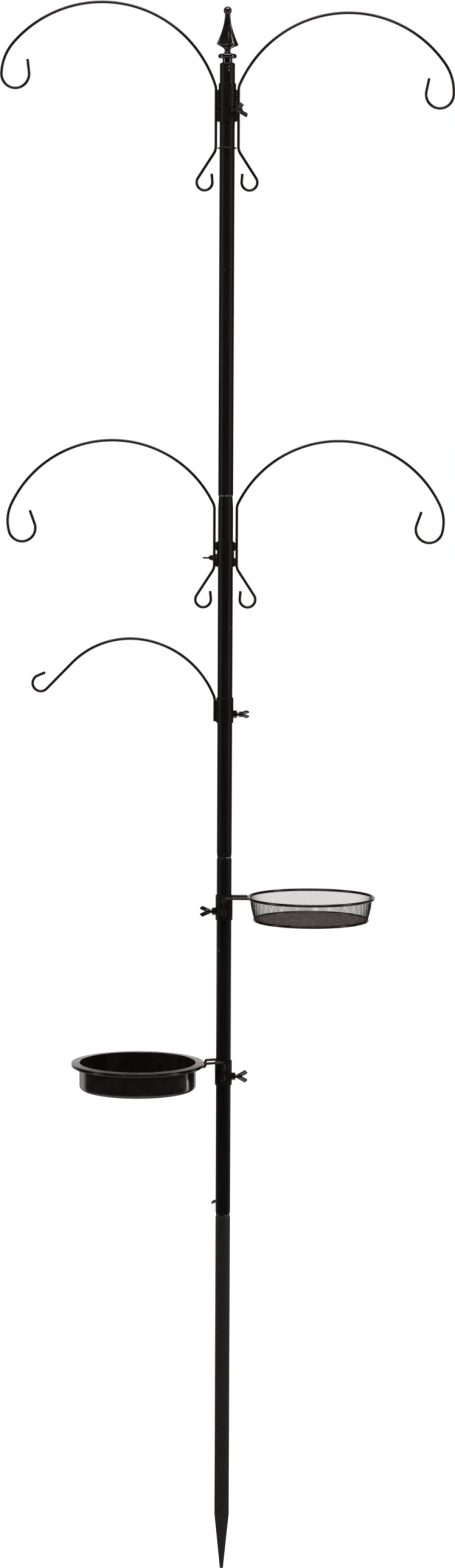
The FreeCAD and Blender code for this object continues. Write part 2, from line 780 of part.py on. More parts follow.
def build_dish():
    clamp("dish", dish_sleeve_foot, sleeve_height, screw_rise, dish_screw_azimuth, dish_screw_roll)
    save("dish_holder_ring", wire_ring(-dish_reach, dish_ring_height, dish_ring_radius, wire_diameter))
    save("water_dish", water_dish())
    drop = dish_rod_height - dish_ring_height
    end = rod_end(dish_reach, dish_ring_radius + wire_radius) - rod_end_gap
    run = stepped_run(end, drop, rod_end(dish_reach, dish_flange_radius))
    build_holder("dish", -1, dish_sleeve_foot, dish_rod_height, dish_ring_height, dish_reach,
                 dish_ring_radius, run)


os.makedirs("parts", exist_ok=True)
build_pole()
build_upper_bracket()
build_lower_bracket()
build_single_bracket()
build_tray()
build_dish()
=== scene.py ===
import json
import math

import bmesh
import bpy
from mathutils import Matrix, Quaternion, Vector


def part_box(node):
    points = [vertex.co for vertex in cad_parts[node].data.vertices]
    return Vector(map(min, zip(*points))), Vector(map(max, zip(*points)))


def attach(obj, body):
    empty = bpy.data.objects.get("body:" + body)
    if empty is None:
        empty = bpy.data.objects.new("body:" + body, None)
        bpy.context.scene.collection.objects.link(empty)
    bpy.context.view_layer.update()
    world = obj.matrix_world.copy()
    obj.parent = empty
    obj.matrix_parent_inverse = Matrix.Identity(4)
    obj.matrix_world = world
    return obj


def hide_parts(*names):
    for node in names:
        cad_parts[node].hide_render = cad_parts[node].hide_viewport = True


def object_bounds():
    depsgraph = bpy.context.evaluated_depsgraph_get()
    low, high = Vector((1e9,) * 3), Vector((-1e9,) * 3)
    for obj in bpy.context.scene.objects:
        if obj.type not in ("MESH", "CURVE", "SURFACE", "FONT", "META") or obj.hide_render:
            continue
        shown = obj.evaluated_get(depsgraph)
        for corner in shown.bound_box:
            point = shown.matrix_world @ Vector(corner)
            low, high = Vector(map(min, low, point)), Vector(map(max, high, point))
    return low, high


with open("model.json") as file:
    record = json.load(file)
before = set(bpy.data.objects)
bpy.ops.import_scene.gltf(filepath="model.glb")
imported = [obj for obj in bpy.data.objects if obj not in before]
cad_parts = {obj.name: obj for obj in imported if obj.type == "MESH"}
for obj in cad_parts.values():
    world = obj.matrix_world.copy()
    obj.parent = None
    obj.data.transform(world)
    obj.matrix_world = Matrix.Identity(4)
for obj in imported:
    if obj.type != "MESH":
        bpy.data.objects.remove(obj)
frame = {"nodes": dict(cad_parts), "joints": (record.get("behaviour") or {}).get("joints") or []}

bl_info = {
    "name": "Bird Feeder Stand",
    "version": (1, 0, 0),
    "blender": (4, 5, 0),
    "location": "View3D > Sidebar > Feeder Stand",
    "description": "Dresses a bird feeder stand: coated poles, bent wire, clamps, mesh tray and water dish",
    "category": "Object",
}

MM = 0.001
CAD_LOW, CAD_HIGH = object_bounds()
POLES = ("lower_pole", "middle_pole", "upper_pole")
BRACKETS = ("upper", "lower", "single", "tray", "dish")
SCREWS = BRACKETS + ("stake",)
ARMS = (
    "upper_left_arm", "upper_right_arm", "lower_left_arm", "lower_right_arm", "single_arm", "upper_stay_ring",
)
TRAY_WIRES = ("tray_front_rod", "tray_rear_rod", "tray_rim_ring", "tray_base_ring")
DISH_WIRES = ("dish_front_rod", "dish_rear_rod", "dish_holder_ring")

# Paint: swing of the gloss about its mean, and the orange peel's grain per metre and depth.
GLOSS_SWING = (-0.06, 0.08)
PEEL_GRAIN = 1400.0
PEEL_DEPTH = 0.2 * MM
# Chips, and the bands at the pole joints that are both rubbed bare and a painted highlight: chips are drawn
# out upwards, and their edges and the bands are broken by a grain per metre.
CHIP_STRETCH = (1.0, 1.0, 0.6)
CHIP_EDGE_GRAIN = 900.0
WEAR_AND_HIGHLIGHT_GRAIN = 260.0
# Reflected surroundings, by the direction looked in: spans over which the backdrop's sides and top and the
# ground below fade, and the levels of the ground and of the dim room.
BACKDROP_SIDE = (0.84, 0.90)
BACKDROP_TOP = (0.20, 0.28)
GROUND_FADE = (-0.8, -0.45)
GROUND_LEVEL = 0.8
ROOM_LEVEL = 0.03
# Lamps: how much weaker the left ones are, and the strips' height as a share of the dish's.
LEFT_BOX_SHARE = 0.8
LEFT_STRIP_SHARE = 0.15
STRIP_HEIGHT_SHARE = 0.45
# Threads: root as a share of the crest, and the wall of the ridged sleeve.
THREAD_ROOT = 0.86
THREAD_WALL = 0.4 * MM
THREAD_SIDES = 24
# Welds: how much the lumps differ in size, and how fast that goes along a weld.
LUMP_SWING = 0.14
LUMP_RHYTHM = 7.3
# Tray: the wall's foot stands inside the base ring, and the floor reaches past its CAD edge.
WALL_FOOT_INSET = 1.5 * MM
FLOOR_LAP = 1.0 * MM
FLOOR_STRAND_SHARE = 1.2


def node_radius(node):
    """Half of a round node's width along X."""
    low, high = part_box(node)
    return (high.x - low.x) / 2


def node_centre(node):
    """Middle of a node's box."""
    low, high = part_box(node)
    return (low + high) / 2


class FeederStage(bpy.types.PropertyGroup):
    """Camera, floor and lamps."""
    camera_distance: bpy.props.FloatProperty(
        name="Camera Distance", description="Level distance from the pole to the camera",
        default=5.3, unit="LENGTH")
    camera_height: bpy.props.FloatProperty(
        name="Camera Height", description="Height of the camera above the ground line",
        default=1.4294, unit="LENGTH")
    camera_side: bpy.props.FloatProperty(
        name="Camera Side", description="How far the camera stands to the right of the pole",
        default=0.0044, unit="LENGTH")
    camera_pitch: bpy.props.FloatProperty(
        name="Camera Pitch", description="How far the camera looks down",
        default=math.radians(5.8), subtype="ANGLE")
    camera_roll: bpy.props.FloatProperty(
        name="Camera Roll", description="Lean of the camera about its own line of sight",
        default=math.radians(0.24), subtype="ANGLE")
    camera_lens: bpy.props.FloatProperty(
        name="Lens", description="Focal length in millimetres on a 36 mm sensor along the long side",
        default=82.72)
    floor_size: bpy.props.FloatProperty(
        name="Floor Size", description="Side of the square floor",
        default=40.0, unit="LENGTH")
    floor_colour: bpy.props.FloatVectorProperty(
        name="Floor Colour", description="Pale grey of the floor", subtype="COLOR",
        default=(0.85, 0.85, 0.85))
    floor_glow: bpy.props.FloatProperty(
        name="Floor Glow", description="How much the camera sees the floor lifted towards white", default=0.7)
    box_strength: bpy.props.FloatProperty(
        name="Side Box Strength", description="Brightness of the tall soft boxes on either side",
        default=12.0)
    strip_strength: bpy.props.FloatProperty(
        name="Rear Strip Strength", description="Brightness of the low strips behind on either side",
        default=8.0)
    overhead_strength: bpy.props.FloatProperty(
        name="Overhead Strength", description="Brightness of the soft box overhead", default=10.0)
    lamp_colour: bpy.props.FloatVectorProperty(
        name="Lamp Colour", description="Warm white of the soft boxes", subtype="COLOR",
        default=(1.0, 0.90, 0.88))
    backdrop_colour: bpy.props.FloatVectorProperty(
        name="Backdrop Colour", description="Tint of the pale backdrop in reflections", subtype="COLOR",
        default=(1.0, 0.90, 0.92))
    ambient: bpy.props.FloatProperty(
        name="Ambient", description="Level of the light from all round on dull surfaces", default=0.45)


class FeederFinish(bpy.types.PropertyGroup):
    """Colours of the coats."""
    pole_colour: bpy.props.FloatVectorProperty(
        name="Pole", description="Gloss black of the pole sections", subtype="COLOR",
        default=(0.0035, 0.0030, 0.0030))
    stake_colour: bpy.props.FloatVectorProperty(
        name="Stake", description="Dull grey black of the ground stake", subtype="COLOR",
        default=(0.0118, 0.0106, 0.0108))
    wire_colour: bpy.props.FloatVectorProperty(
        name="Wire", description="Brown black of the bent wire", subtype="COLOR",
        default=(0.0070, 0.0040, 0.0034))
    sleeve_colour: bpy.props.FloatVectorProperty(
        name="Sleeve", description="Black of the clamp sleeves", subtype="COLOR",
        default=(0.0045, 0.0038, 0.0036))
    finial_colour: bpy.props.FloatVectorProperty(
        name="Finial", description="Bronze black of the finial", subtype="COLOR",
        default=(0.0060, 0.0042, 0.0036))
    screw_colour: bpy.props.FloatVectorProperty(
        name="Screw", description="Black of nuts and wing screws", subtype="COLOR",
        default=(0.0050, 0.0038, 0.0035))
    mesh_colour: bpy.props.FloatVectorProperty(
        name="Mesh", description="Grey black of the tray's mesh", subtype="COLOR",
        default=(0.0085, 0.0070, 0.0068))
    # Lighter grey than the wall's mesh; its wide light and dark mottle, set in the tray's net, stands in for
    # glints on the strands: painted glints.
    floor_colour: bpy.props.FloatVectorProperty(
        name="Mesh Floor", description="Worn grey of the tray's floor mesh", subtype="COLOR",
        default=(0.115, 0.102, 0.102))
    dish_colour: bpy.props.FloatVectorProperty(
        name="Dish", description="Gloss black of the water dish", subtype="COLOR",
        default=(0.0090, 0.0070, 0.0072))
    # Also laid into the bands at the pole joints, where it is a painted highlight as well as bare metal.
    chip_and_highlight_colour: bpy.props.FloatVectorProperty(
        name="Chip", description="Bare grey where the paint is chipped", subtype="COLOR",
        default=(0.30, 0.28, 0.27))


class FeederDetail(bpy.types.PropertyGroup):
    """Sizes of the mesh, the welds, the wear and painted highlight at the pole joints, and the threads."""
    net_columns: bpy.props.IntProperty(
        name="Net Columns", description="Mesh cells round the tray's wall", default=174)
    net_rows: bpy.props.IntProperty(
        name="Net Rows", description="Mesh cells up the tray's wall", default=15)
    net_strand: bpy.props.FloatProperty(
        name="Net Strand", description="Thickness of a mesh strand", default=0.50 * MM, unit="LENGTH")
    net_bulge: bpy.props.FloatProperty(
        name="Net Bulge", description="How far the mesh wall swells at half height",
        default=0.9 * MM, unit="LENGTH")
    floor_cell: bpy.props.FloatProperty(
        name="Floor Cell", description="Side of a mesh cell in the tray's floor",
        default=2.2 * MM, unit="LENGTH")
    bead_radius: bpy.props.FloatProperty(
        name="Bead Radius", description="Half the width of a weld", default=2.2 * MM, unit="LENGTH")
    bead_pitch: bpy.props.FloatProperty(
        name="Bead Pitch", description="Spacing of the lumps in a weld", default=2.4 * MM, unit="LENGTH")
    bead_tab: bpy.props.FloatProperty(
        name="Bead Tab", description="Length of a short weld at a wire's end",
        default=9.0 * MM, unit="LENGTH")
    bead_grain: bpy.props.FloatProperty(
        name="Bead Grain", description="Size of the facets that a weld's surface is drawn with",
        default=0.4 * MM, unit="LENGTH")
    # The band at each pole joint is rubbed bare metal and also a painted highlight along the joint's edge.
    wear_and_highlight_width: bpy.props.FloatProperty(
        name="Wear Width", description="Half the width of the worn band where two pole sections meet",
        default=0.7 * MM, unit="LENGTH")
    wire_radius: bpy.props.FloatProperty(
        name="Wire Radius", description="Half the thickness of the bent wire",
        default=2.0 * MM, unit="LENGTH")
    thread_pitch: bpy.props.FloatProperty(
        name="Thread Pitch", description="Pitch of the lock screws' thread", default=1.0 * MM, unit="LENGTH")
    thread_start: bpy.props.FloatProperty(
        name="Thread Start", description="Where the visible thread begins along a lock screw",
        default=5.4 * MM, unit="LENGTH")
    thread_turns: bpy.props.IntProperty(
        name="Thread Turns", description="Ridges in the visible stretch of thread", default=3)
    thread_radius: bpy.props.FloatProperty(
        name="Thread Radius", description="Crest radius of the lock screws' thread",
        default=2.95 * MM, unit="LENGTH")


def new_tree(name):
    """Material with an empty node tree, its output, and a principled shader already linked."""
    material = bpy.data.materials.new(name)
    material.use_nodes = True
    tree = material.node_tree
    tree.nodes.clear()
    output = tree.nodes.new("ShaderNodeOutputMaterial")
    shader = tree.nodes.new("ShaderNodeBsdfPrincipled")
    tree.links.new(shader.outputs["BSDF"], output.inputs["Surface"])
    return material, tree, shader


def object_noise(tree, scale, stretch=(1.0, 1.0, 1.0), detail=4.0):
    """Noise on Object coordinates; stretch below 1 draws it out along that axis."""
    place = tree.nodes.new("ShaderNodeTexCoord")
    mapping = tree.nodes.new("ShaderNodeMapping")
    mapping.inputs["Scale"].default_value = stretch
    noise = tree.nodes.new("ShaderNodeTexNoise")
    noise.inputs["Scale"].default_value = scale
    noise.inputs["Detail"].default_value = detail
    tree.links.new(place.outputs["Object"], mapping.inputs["Vector"])
    tree.links.new(mapping.outputs["Vector"], noise.inputs["Vector"])
    return noise.outputs["Fac"]


def mapped(tree, value, low, high, from_low=0.3, from_high=0.7):
    """Value stretched from its usual span to low and high."""
    span = tree.nodes.new("ShaderNodeMapRange")
    span.inputs["From Min"].default_value = from_low
    span.inputs["From Max"].default_value = from_high
    span.inputs["To Min"].default_value = low
    span.inputs["To Max"].default_value = high
    tree.links.new(value, span.inputs["Value"])
    return span.outputs["Result"]


def mixed_colour(tree, factor, first, second):
    """Colour blended by a factor; each of the two is a colour or another node's output."""
    mix = tree.nodes.new("ShaderNodeMix")
    mix.data_type = "RGBA"
    sockets = [s for s in mix.inputs if s.type == "RGBA"]
    for socket, colour in zip(sockets, (first, second)):
        if isinstance(colour, bpy.types.NodeSocket):
            tree.links.new(colour, socket)
        else:
            socket.default_value = (*colour, 1.0)
    tree.links.new(factor, mix.inputs["Factor"])
    return next(s for s in mix.outputs if s.type == "RGBA")


def maths(tree, operation, first, second):
    """Two values, or outputs, joined by a Math node."""
    node = tree.nodes.new("ShaderNodeMath")
    node.operation = operation
    for socket, value in zip(node.inputs, (first, second)):
        if isinstance(value, bpy.types.NodeSocket):
            tree.links.new(value, socket)
        else:
            socket.default_value = value
    return node.outputs["Value"]


def shade(colour, factor):
    """Colour made lighter or darker."""
    return tuple(channel * factor for channel in colour)


def coating(
        name, colour, rough, grain, specular, bump=0.015, stretch=(1.0, 1.0, 1.0), shades=(0.75, 1.5)):
    """Painted or powder-coated finish: mottled colour, uneven gloss and a fine orange peel."""
    material, tree, shader = new_tree(name)
    mottle = object_noise(tree, grain, stretch)
    tint = mixed_colour(tree, mapped(tree, mottle, 0.0, 1.0), *(shade(colour, part) for part in shades))
    tree.links.new(tint, shader.inputs["Base Color"])
    gloss = mapped(tree, mottle, *(rough + swing for swing in GLOSS_SWING))
    tree.links.new(gloss, shader.inputs["Roughness"])
    shader.inputs["Specular IOR Level"].default_value = specular
    peel = tree.nodes.new("ShaderNodeBump")
    peel.inputs["Strength"].default_value = bump
    peel.inputs["Distance"].default_value = PEEL_DEPTH
    tree.links.new(object_noise(tree, PEEL_GRAIN, detail=2.0), peel.inputs["Height"])
    tree.links.new(peel.outputs["Normal"], shader.inputs["Normal"])
    return material, tree, shader, tint


def height_band(tree, low, high):
    """One between two heights and nothing outside them."""
    place = tree.nodes.new("ShaderNodeTexCoord")
    parts = tree.nodes.new("ShaderNodeSeparateXYZ")
    tree.links.new(place.outputs["Object"], parts.inputs["Vector"])
    above = maths(tree, "GREATER_THAN", parts.outputs["Z"], low)
    return maths(tree, "MULTIPLY", above, maths(tree, "LESS_THAN", parts.outputs["Z"], high))


def add_chips(tree, tint, chip_and_highlight_colour, cell_scale, size, share, zone=None, zone_share=0.0):
    """Small chips in the paint, in a share of scattered cells, and in more of them in a zone."""
    place = tree.nodes.new("ShaderNodeTexCoord")
    cells = tree.nodes.new("ShaderNodeTexVoronoi")
    cells.inputs["Scale"].default_value = cell_scale
    mapping = tree.nodes.new("ShaderNodeMapping")
    mapping.inputs["Scale"].default_value = CHIP_STRETCH
    tree.links.new(place.outputs["Object"], mapping.inputs["Vector"])
    tree.links.new(mapping.outputs["Vector"], cells.inputs["Vector"])
    parts = tree.nodes.new("ShaderNodeSeparateColor")
    tree.links.new(cells.outputs["Color"], parts.inputs["Color"])
    chance = parts.outputs["Red"]
    if zone:
        extra = maths(tree, "MULTIPLY", height_band(tree, *zone), zone_share)
        chance = maths(tree, "ADD", chance, extra)
    picked = maths(tree, "GREATER_THAN", chance, 1.0 - share)
    ragged = maths(tree, "MULTIPLY", object_noise(tree, CHIP_EDGE_GRAIN), size * 2)
    inside = maths(tree, "LESS_THAN", cells.outputs["Distance"], ragged)
    return mixed_colour(tree, maths(tree, "MULTIPLY", picked, inside), tint, chip_and_highlight_colour)


def wear_and_highlight_edge(tree, tint, bare_and_highlight_colour, low, high, dark_share):
    """Bare metal and painted highlight along an edge between two heights, broken up where the paint stays
    dark.
    """
    bared_and_highlit = maths(tree, "GREATER_THAN", object_noise(tree, WEAR_AND_HIGHLIGHT_GRAIN), dark_share)
    rubbed_and_highlit = maths(tree, "MULTIPLY", height_band(tree, low, high), bared_and_highlit)
    return mixed_colour(tree, rubbed_and_highlit, tint, bare_and_highlight_colour)


def dress(nodes, material):
    """Give CAD nodes a material in place of the one they came with."""
    for name in nodes:
        mesh = frame["nodes"][name].data
        mesh.materials.clear()
        mesh.materials.append(material)


def deselect():
    """Leave nothing selected."""
    bpy.ops.object.select_all(action="DESELECT")


def settle(name, body, material, replaces=()):
    """Name the active piece, put its place into its mesh and hang it on its body."""
    piece = bpy.context.object
    bpy.ops.object.transform_apply(location=True, rotation=True, scale=True)
    piece.name = name
    piece.data.name = name
    piece.data.materials.clear()
    piece.data.materials.append(material)
    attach(piece, body)
    if replaces:
        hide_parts(*replaces)
    deselect()
    return piece


def apply_modifier(kind, **settings):
    """Add a modifier to the active piece, set it and apply it."""
    modifier = bpy.context.object.modifiers.new(kind.title(), kind)
    for key, value in settings.items():
        setattr(modifier, key, value)
    bpy.ops.object.modifier_apply(modifier=modifier.name)


def open_to_net(strand):
    """Turn the active grid of quads into a diamond net of square strands."""
    bpy.ops.object.mode_set(mode="EDIT")
    mesh = bmesh.from_edit_mesh(bpy.context.object.data)
    corners = len(mesh.verts)
    bpy.ops.mesh.select_all(action="SELECT")
    bpy.ops.mesh.poke()
    bpy.ops.mesh.select_all(action="DESELECT")
    mesh = bmesh.from_edit_mesh(bpy.context.object.data)
    mesh.verts.index_update()
    for edge in mesh.edges:
        inner = len(edge.link_faces) == 2
        edge.select = inner and all(vertex.index < corners for vertex in edge.verts)
    bmesh.update_edit_mesh(bpy.context.object.data)
    bpy.ops.mesh.select_mode(type="EDGE")
    bpy.ops.mesh.dissolve_edges(use_verts=False)
    bpy.ops.object.mode_set(mode="OBJECT")
    apply_modifier("WIREFRAME", thickness=strand, use_replace=True, use_even_offset=False, use_boundary=True)


class FEEDER_OT_stage(bpy.types.Operator):
    """Lay the pale floor, light the stand and stand the camera where the photograph was taken"""
    bl_idname = "feeder.stage"
    bl_label = "Stage"

    def execute(self, context):
        stage = context.scene.feeder_stage
        self.lay_floor(stage)
        self.light_world(context, stage)
        self.hang_lights(stage)
        self.stand_camera(context, stage)
        context.scene.view_settings.view_transform = "Standard"
        return {"FINISHED"}

    def lay_floor(self, stage):
        """Pale floor that the camera sees as white and that reflections look through."""
        deselect()
        bpy.ops.mesh.primitive_plane_add(size=stage.floor_size, location=(0, 0, CAD_LOW.z))
        floor = bpy.context.object
        floor.name = "floor"
        material, tree, shader = new_tree("pale_floor")
        shader.inputs["Base Color"].default_value = (*stage.floor_colour, 1.0)
        shader.inputs["Roughness"].default_value = 0.9
        rays = tree.nodes.new("ShaderNodeLightPath")
        seen = maths(tree, "MAXIMUM", rays.outputs["Is Camera Ray"], rays.outputs["Is Transmission Ray"])
        shader.inputs["Emission Color"].default_value = (1.0, 1.0, 1.0, 1.0)
        tree.links.new(maths(tree, "MULTIPLY", seen, stage.floor_glow), shader.inputs["Emission Strength"])
        clear = tree.nodes.new("ShaderNodeBsdfTransparent")
        blend = tree.nodes.new("ShaderNodeMixShader")
        tree.links.new(rays.outputs["Is Glossy Ray"], blend.inputs["Fac"])
        tree.links.new(shader.outputs["BSDF"], blend.inputs[1])
        tree.links.new(clear.outputs["BSDF"], blend.inputs[2])
        tree.links.new(blend.outputs["Shader"], tree.nodes["Material Output"].inputs["Surface"])
        floor.data.materials.append(material)

    def light_world(self, context, stage):
        """White for the camera, and in reflections a pale backdrop behind and a pale ground below."""
        world = bpy.data.worlds.new("studio")
        context.scene.world = world
        world.use_nodes = True
        tree = world.node_tree
        background = tree.nodes["Background"]
        rays = tree.nodes.new("ShaderNodeLightPath")
        place = tree.nodes.new("ShaderNodeTexCoord")
        parts = tree.nodes.new("ShaderNodeSeparateXYZ")
        tree.links.new(place.outputs["Generated"], parts.inputs["Vector"])
        behind = mapped(tree, parts.outputs["Y"], 0.0, 1.0, *BACKDROP_SIDE)
        below = mapped(tree, parts.outputs["Z"], 1.0, 0.0, *BACKDROP_TOP)
        backdrop = maths(tree, "MAXIMUM", maths(tree, "MULTIPLY", behind, below), ROOM_LEVEL)
        ground = mapped(tree, parts.outputs["Z"], GROUND_LEVEL, 0.0, *GROUND_FADE)
        backdrop = maths(tree, "MAXIMUM", backdrop, ground)
        glossy = maths(tree, "MULTIPLY", rays.outputs["Is Glossy Ray"], backdrop)
        seen = maths(tree, "MAXIMUM", rays.outputs["Is Camera Ray"], rays.outputs["Is Transmission Ray"])
        seen = maths(tree, "MAXIMUM", seen, glossy)
        dull = maths(tree, "MULTIPLY", rays.outputs["Is Diffuse Ray"], stage.ambient)
        tree.links.new(maths(tree, "MAXIMUM", seen, dull), background.inputs["Strength"])
        tint = mixed_colour(tree, rays.outputs["Is Camera Ray"], stage.backdrop_colour, (1.0, 1.0, 1.0))
        tree.links.new(tint, background.inputs["Color"])

    def hang_lights(self, stage):
        """Soft boxes: name, turn from the camera's side in degrees, then distance, height, width and length
        in metres, and strength."""
        middle = (CAD_LOW.z + CAD_HIGH.z) / 2
        knee = node_centre("water_dish").z * STRIP_HEIGHT_SHARE
        boxes = (
            ("left_box", -76.0, 2.8, middle * 2, 0.25, 2.4, stage.box_strength * LEFT_BOX_SHARE),
            ("right_box", 70.0, 2.8, middle * 2, 0.25, 2.4, stage.box_strength),
            ("left_strip", -130.0, 1.54, knee, 0.5, 0.9, stage.strip_strength * LEFT_STRIP_SHARE),
            ("right_strip", 117.4, 1.33, knee, 0.07, 0.9, stage.strip_strength),
            ("overhead", 0.0, 1.0, 4.3, 3.0, 1.0, stage.overhead_strength),
        )
        for name, turn, distance, height, width, length, strength in boxes:
            turn = math.radians(turn)
            place = Vector((math.sin(turn) * distance, -math.cos(turn) * distance, height))
            deselect()
            bpy.ops.object.light_add(type="AREA", location=place)
            lamp = bpy.context.object
            lamp.name = name
            lamp.data.shape = "RECTANGLE"
            lamp.data.size = width
            lamp.data.size_y = length
            lamp.data.energy = strength * math.pi * width * length
            lamp.data.color = stage.lamp_colour
            lamp.rotation_mode = "QUATERNION"
            aim = Vector((0, 0, min(height, middle * 2)))
            lamp.rotation_quaternion = (aim - place).to_track_quat("-Z", "Y")

    def stand_camera(self, context, stage):
        """Camera at the photograph's place and angle."""
        deselect()
        place = (stage.camera_side, -stage.camera_distance, stage.camera_height)
        bpy.ops.object.camera_add(location=place)
        camera = bpy.context.object
        camera.name = "photo_camera"
        camera.data.lens = stage.camera_lens
        camera.data.sensor_width = 36.0
        camera.data.clip_end = 100.0
        sight = Vector((0, math.cos(stage.camera_pitch), -math.sin(stage.camera_pitch)))
        camera.rotation_mode = "QUATERNION"
        lean = Quaternion((0, 0, 1), stage.camera_roll)
        camera.rotation_quaternion = sight.to_track_quat("-Z", "Y") @ lean
        context.scene.camera = camera


class FEEDER_OT_poles(bpy.types.Operator):
    """Coat the stake and the pole sections, with faint streaks along them, a few chips, and bands at the
    joints that are rubbed bare and also a painted highlight
    """
    bl_idname = "feeder.poles"
    bl_label = "Poles and Stake"

    def execute(self, context):
        finish = context.scene.feeder_finish
        detail = context.scene.feeder_detail
        material, tree, shader, tint = coating(
            "pole_gloss", finish.pole_colour, rough=0.42, grain=90.0, specular=0.2, stretch=(4.0, 4.0, 0.12))
        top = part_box("upper_pole")[1].z
        bare = (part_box("upper_bracket_sleeve")[1].z, top)
        tint = add_chips(
            tree, tint, finish.chip_and_highlight_colour, cell_scale=280.0, size=0.2, share=0.006,
            zone=bare, zone_share=0.5)
        # Bands at each section's lower end: rubbed bare metal and also a painted highlight along the joint's
        # edge, barest at the upper joint.
        width = detail.wear_and_highlight_width
        for node, dark_share in (("upper_pole", 0.40), ("middle_pole", 0.52), ("lower_pole", 0.56)):
            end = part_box(node)[0].z
            tint = wear_and_highlight_edge(tree, tint, finish.chip_and_highlight_colour, end - width, end + width, dark_share)
        tree.links.new(tint, shader.inputs["Base Color"])
        dress(POLES, material)
        stake, _, _, _ = coating(
            "stake_dull", finish.stake_colour, rough=0.5, grain=300.0, specular=0.4, bump=0.06)
        dress(("ground_stake",), stake)
        return {"FINISHED"}


class FEEDER_OT_finial(bpy.types.Operator):
    """Give the cast finial its bronze black coat"""
    bl_idname = "feeder.finial"
    bl_label = "Finial"

    def execute(self, context):
        finish = context.scene.feeder_finish
        material, _, _, _ = coating(
            "finial_bronze", finish.finial_colour, rough=0.15, grain=160.0, specular=1.0)
        dress(("finial",), material)
        return {"FINISHED"}


class FEEDER_OT_wires(bpy.types.Operator):
    """Coat the bent wire of the arms, rods and rings"""
    bl_idname = "feeder.wires"
    bl_label = "Bent Wire"

    def execute(self, context):
        finish = context.scene.feeder_finish
        material, _, _, _ = coating("wire_coat", finish.wire_colour, rough=0.2, grain=260.0, specular=0.55)
        dress(ARMS + TRAY_WIRES + DISH_WIRES, material)
        return {"FINISHED"}


class FEEDER_OT_clamps(bpy.types.Operator):
    """Coat the sleeves, nuts and wing screws, and cut the screws' threads"""
    bl_idname = "feeder.clamps"
    bl_label = "Clamps"

    def execute(self, context):
        finish = context.scene.feeder_finish
        detail = context.scene.feeder_detail
        sleeve, tree, shader, tint = coating(
            "sleeve_coat", finish.sleeve_colour, rough=0.4, grain=180.0, specular=0.18)
        tint = add_chips(tree, tint, finish.chip_and_highlight_colour, cell_scale=180.0, size=0.07, share=0.02)
        tree.links.new(tint, shader.inputs["Base Color"])
        dress([name + "_bracket_sleeve" for name in BRACKETS], sleeve)
        screw, tree, shader, tint = coating(
            "screw_coat", finish.screw_colour, rough=0.15, grain=420.0, specular=0.9)
        tint = add_chips(tree, tint, finish.chip_and_highlight_colour, cell_scale=240.0, size=0.09, share=0.1)
        tree.links.new(tint, shader.inputs["Base Color"])
        thread = self.cut_thread(detail)
        for name in SCREWS:
            dress((name + "_lock_nut", name + "_wing_screw"), screw)
            self.seat_thread(thread, name, detail, screw)
        bpy.data.objects.remove(thread)
        return {"FINISHED"}

    def cut_thread(self, detail):
        """Ridged sleeve for the stretch of shank that shows between a nut and its wing hub."""
        deselect()
        bpy.ops.mesh.primitive_circle_add(vertices=THREAD_SIDES, radius=detail.thread_radius)
        thread = bpy.context.object
        bpy.ops.object.mode_set(mode="EDIT")
        for step in range(detail.thread_turns * 2):
            bpy.ops.mesh.extrude_region_move(
                TRANSFORM_OT_translate={"value": (0, 0, detail.thread_pitch / 2)})
            scale = THREAD_ROOT if step % 2 == 0 else 1 / THREAD_ROOT
            height = detail.thread_pitch / 2 * (step + 1)
            bpy.ops.transform.resize(value=(scale, scale, 1), center_override=(0, 0, height))
        bpy.ops.mesh.select_all(action="SELECT")
        bpy.ops.mesh.normals_make_consistent(inside=False)
        bpy.ops.object.mode_set(mode="OBJECT")
        apply_modifier("SOLIDIFY", thickness=THREAD_WALL, offset=-1.0)
        return thread

    def seat_thread(self, thread, name, detail, material):
        """Copy the thread onto one screw's shank."""
        joint = next(j for j in frame["joints"] if j["name"] == name + "_screw_turn")
        axis = Vector(joint["axis"])
        deselect()
        thread.select_set(True)
        bpy.context.view_layer.objects.active = thread
        bpy.ops.object.duplicate()
        copy = bpy.context.object
        copy.rotation_mode = "QUATERNION"
        copy.rotation_quaternion = axis.to_track_quat("Z", "Y")
        copy.location = Vector(joint["pos_m"]) + axis * detail.thread_start
        settle(name + "_screw_thread", name + "_screw", material)


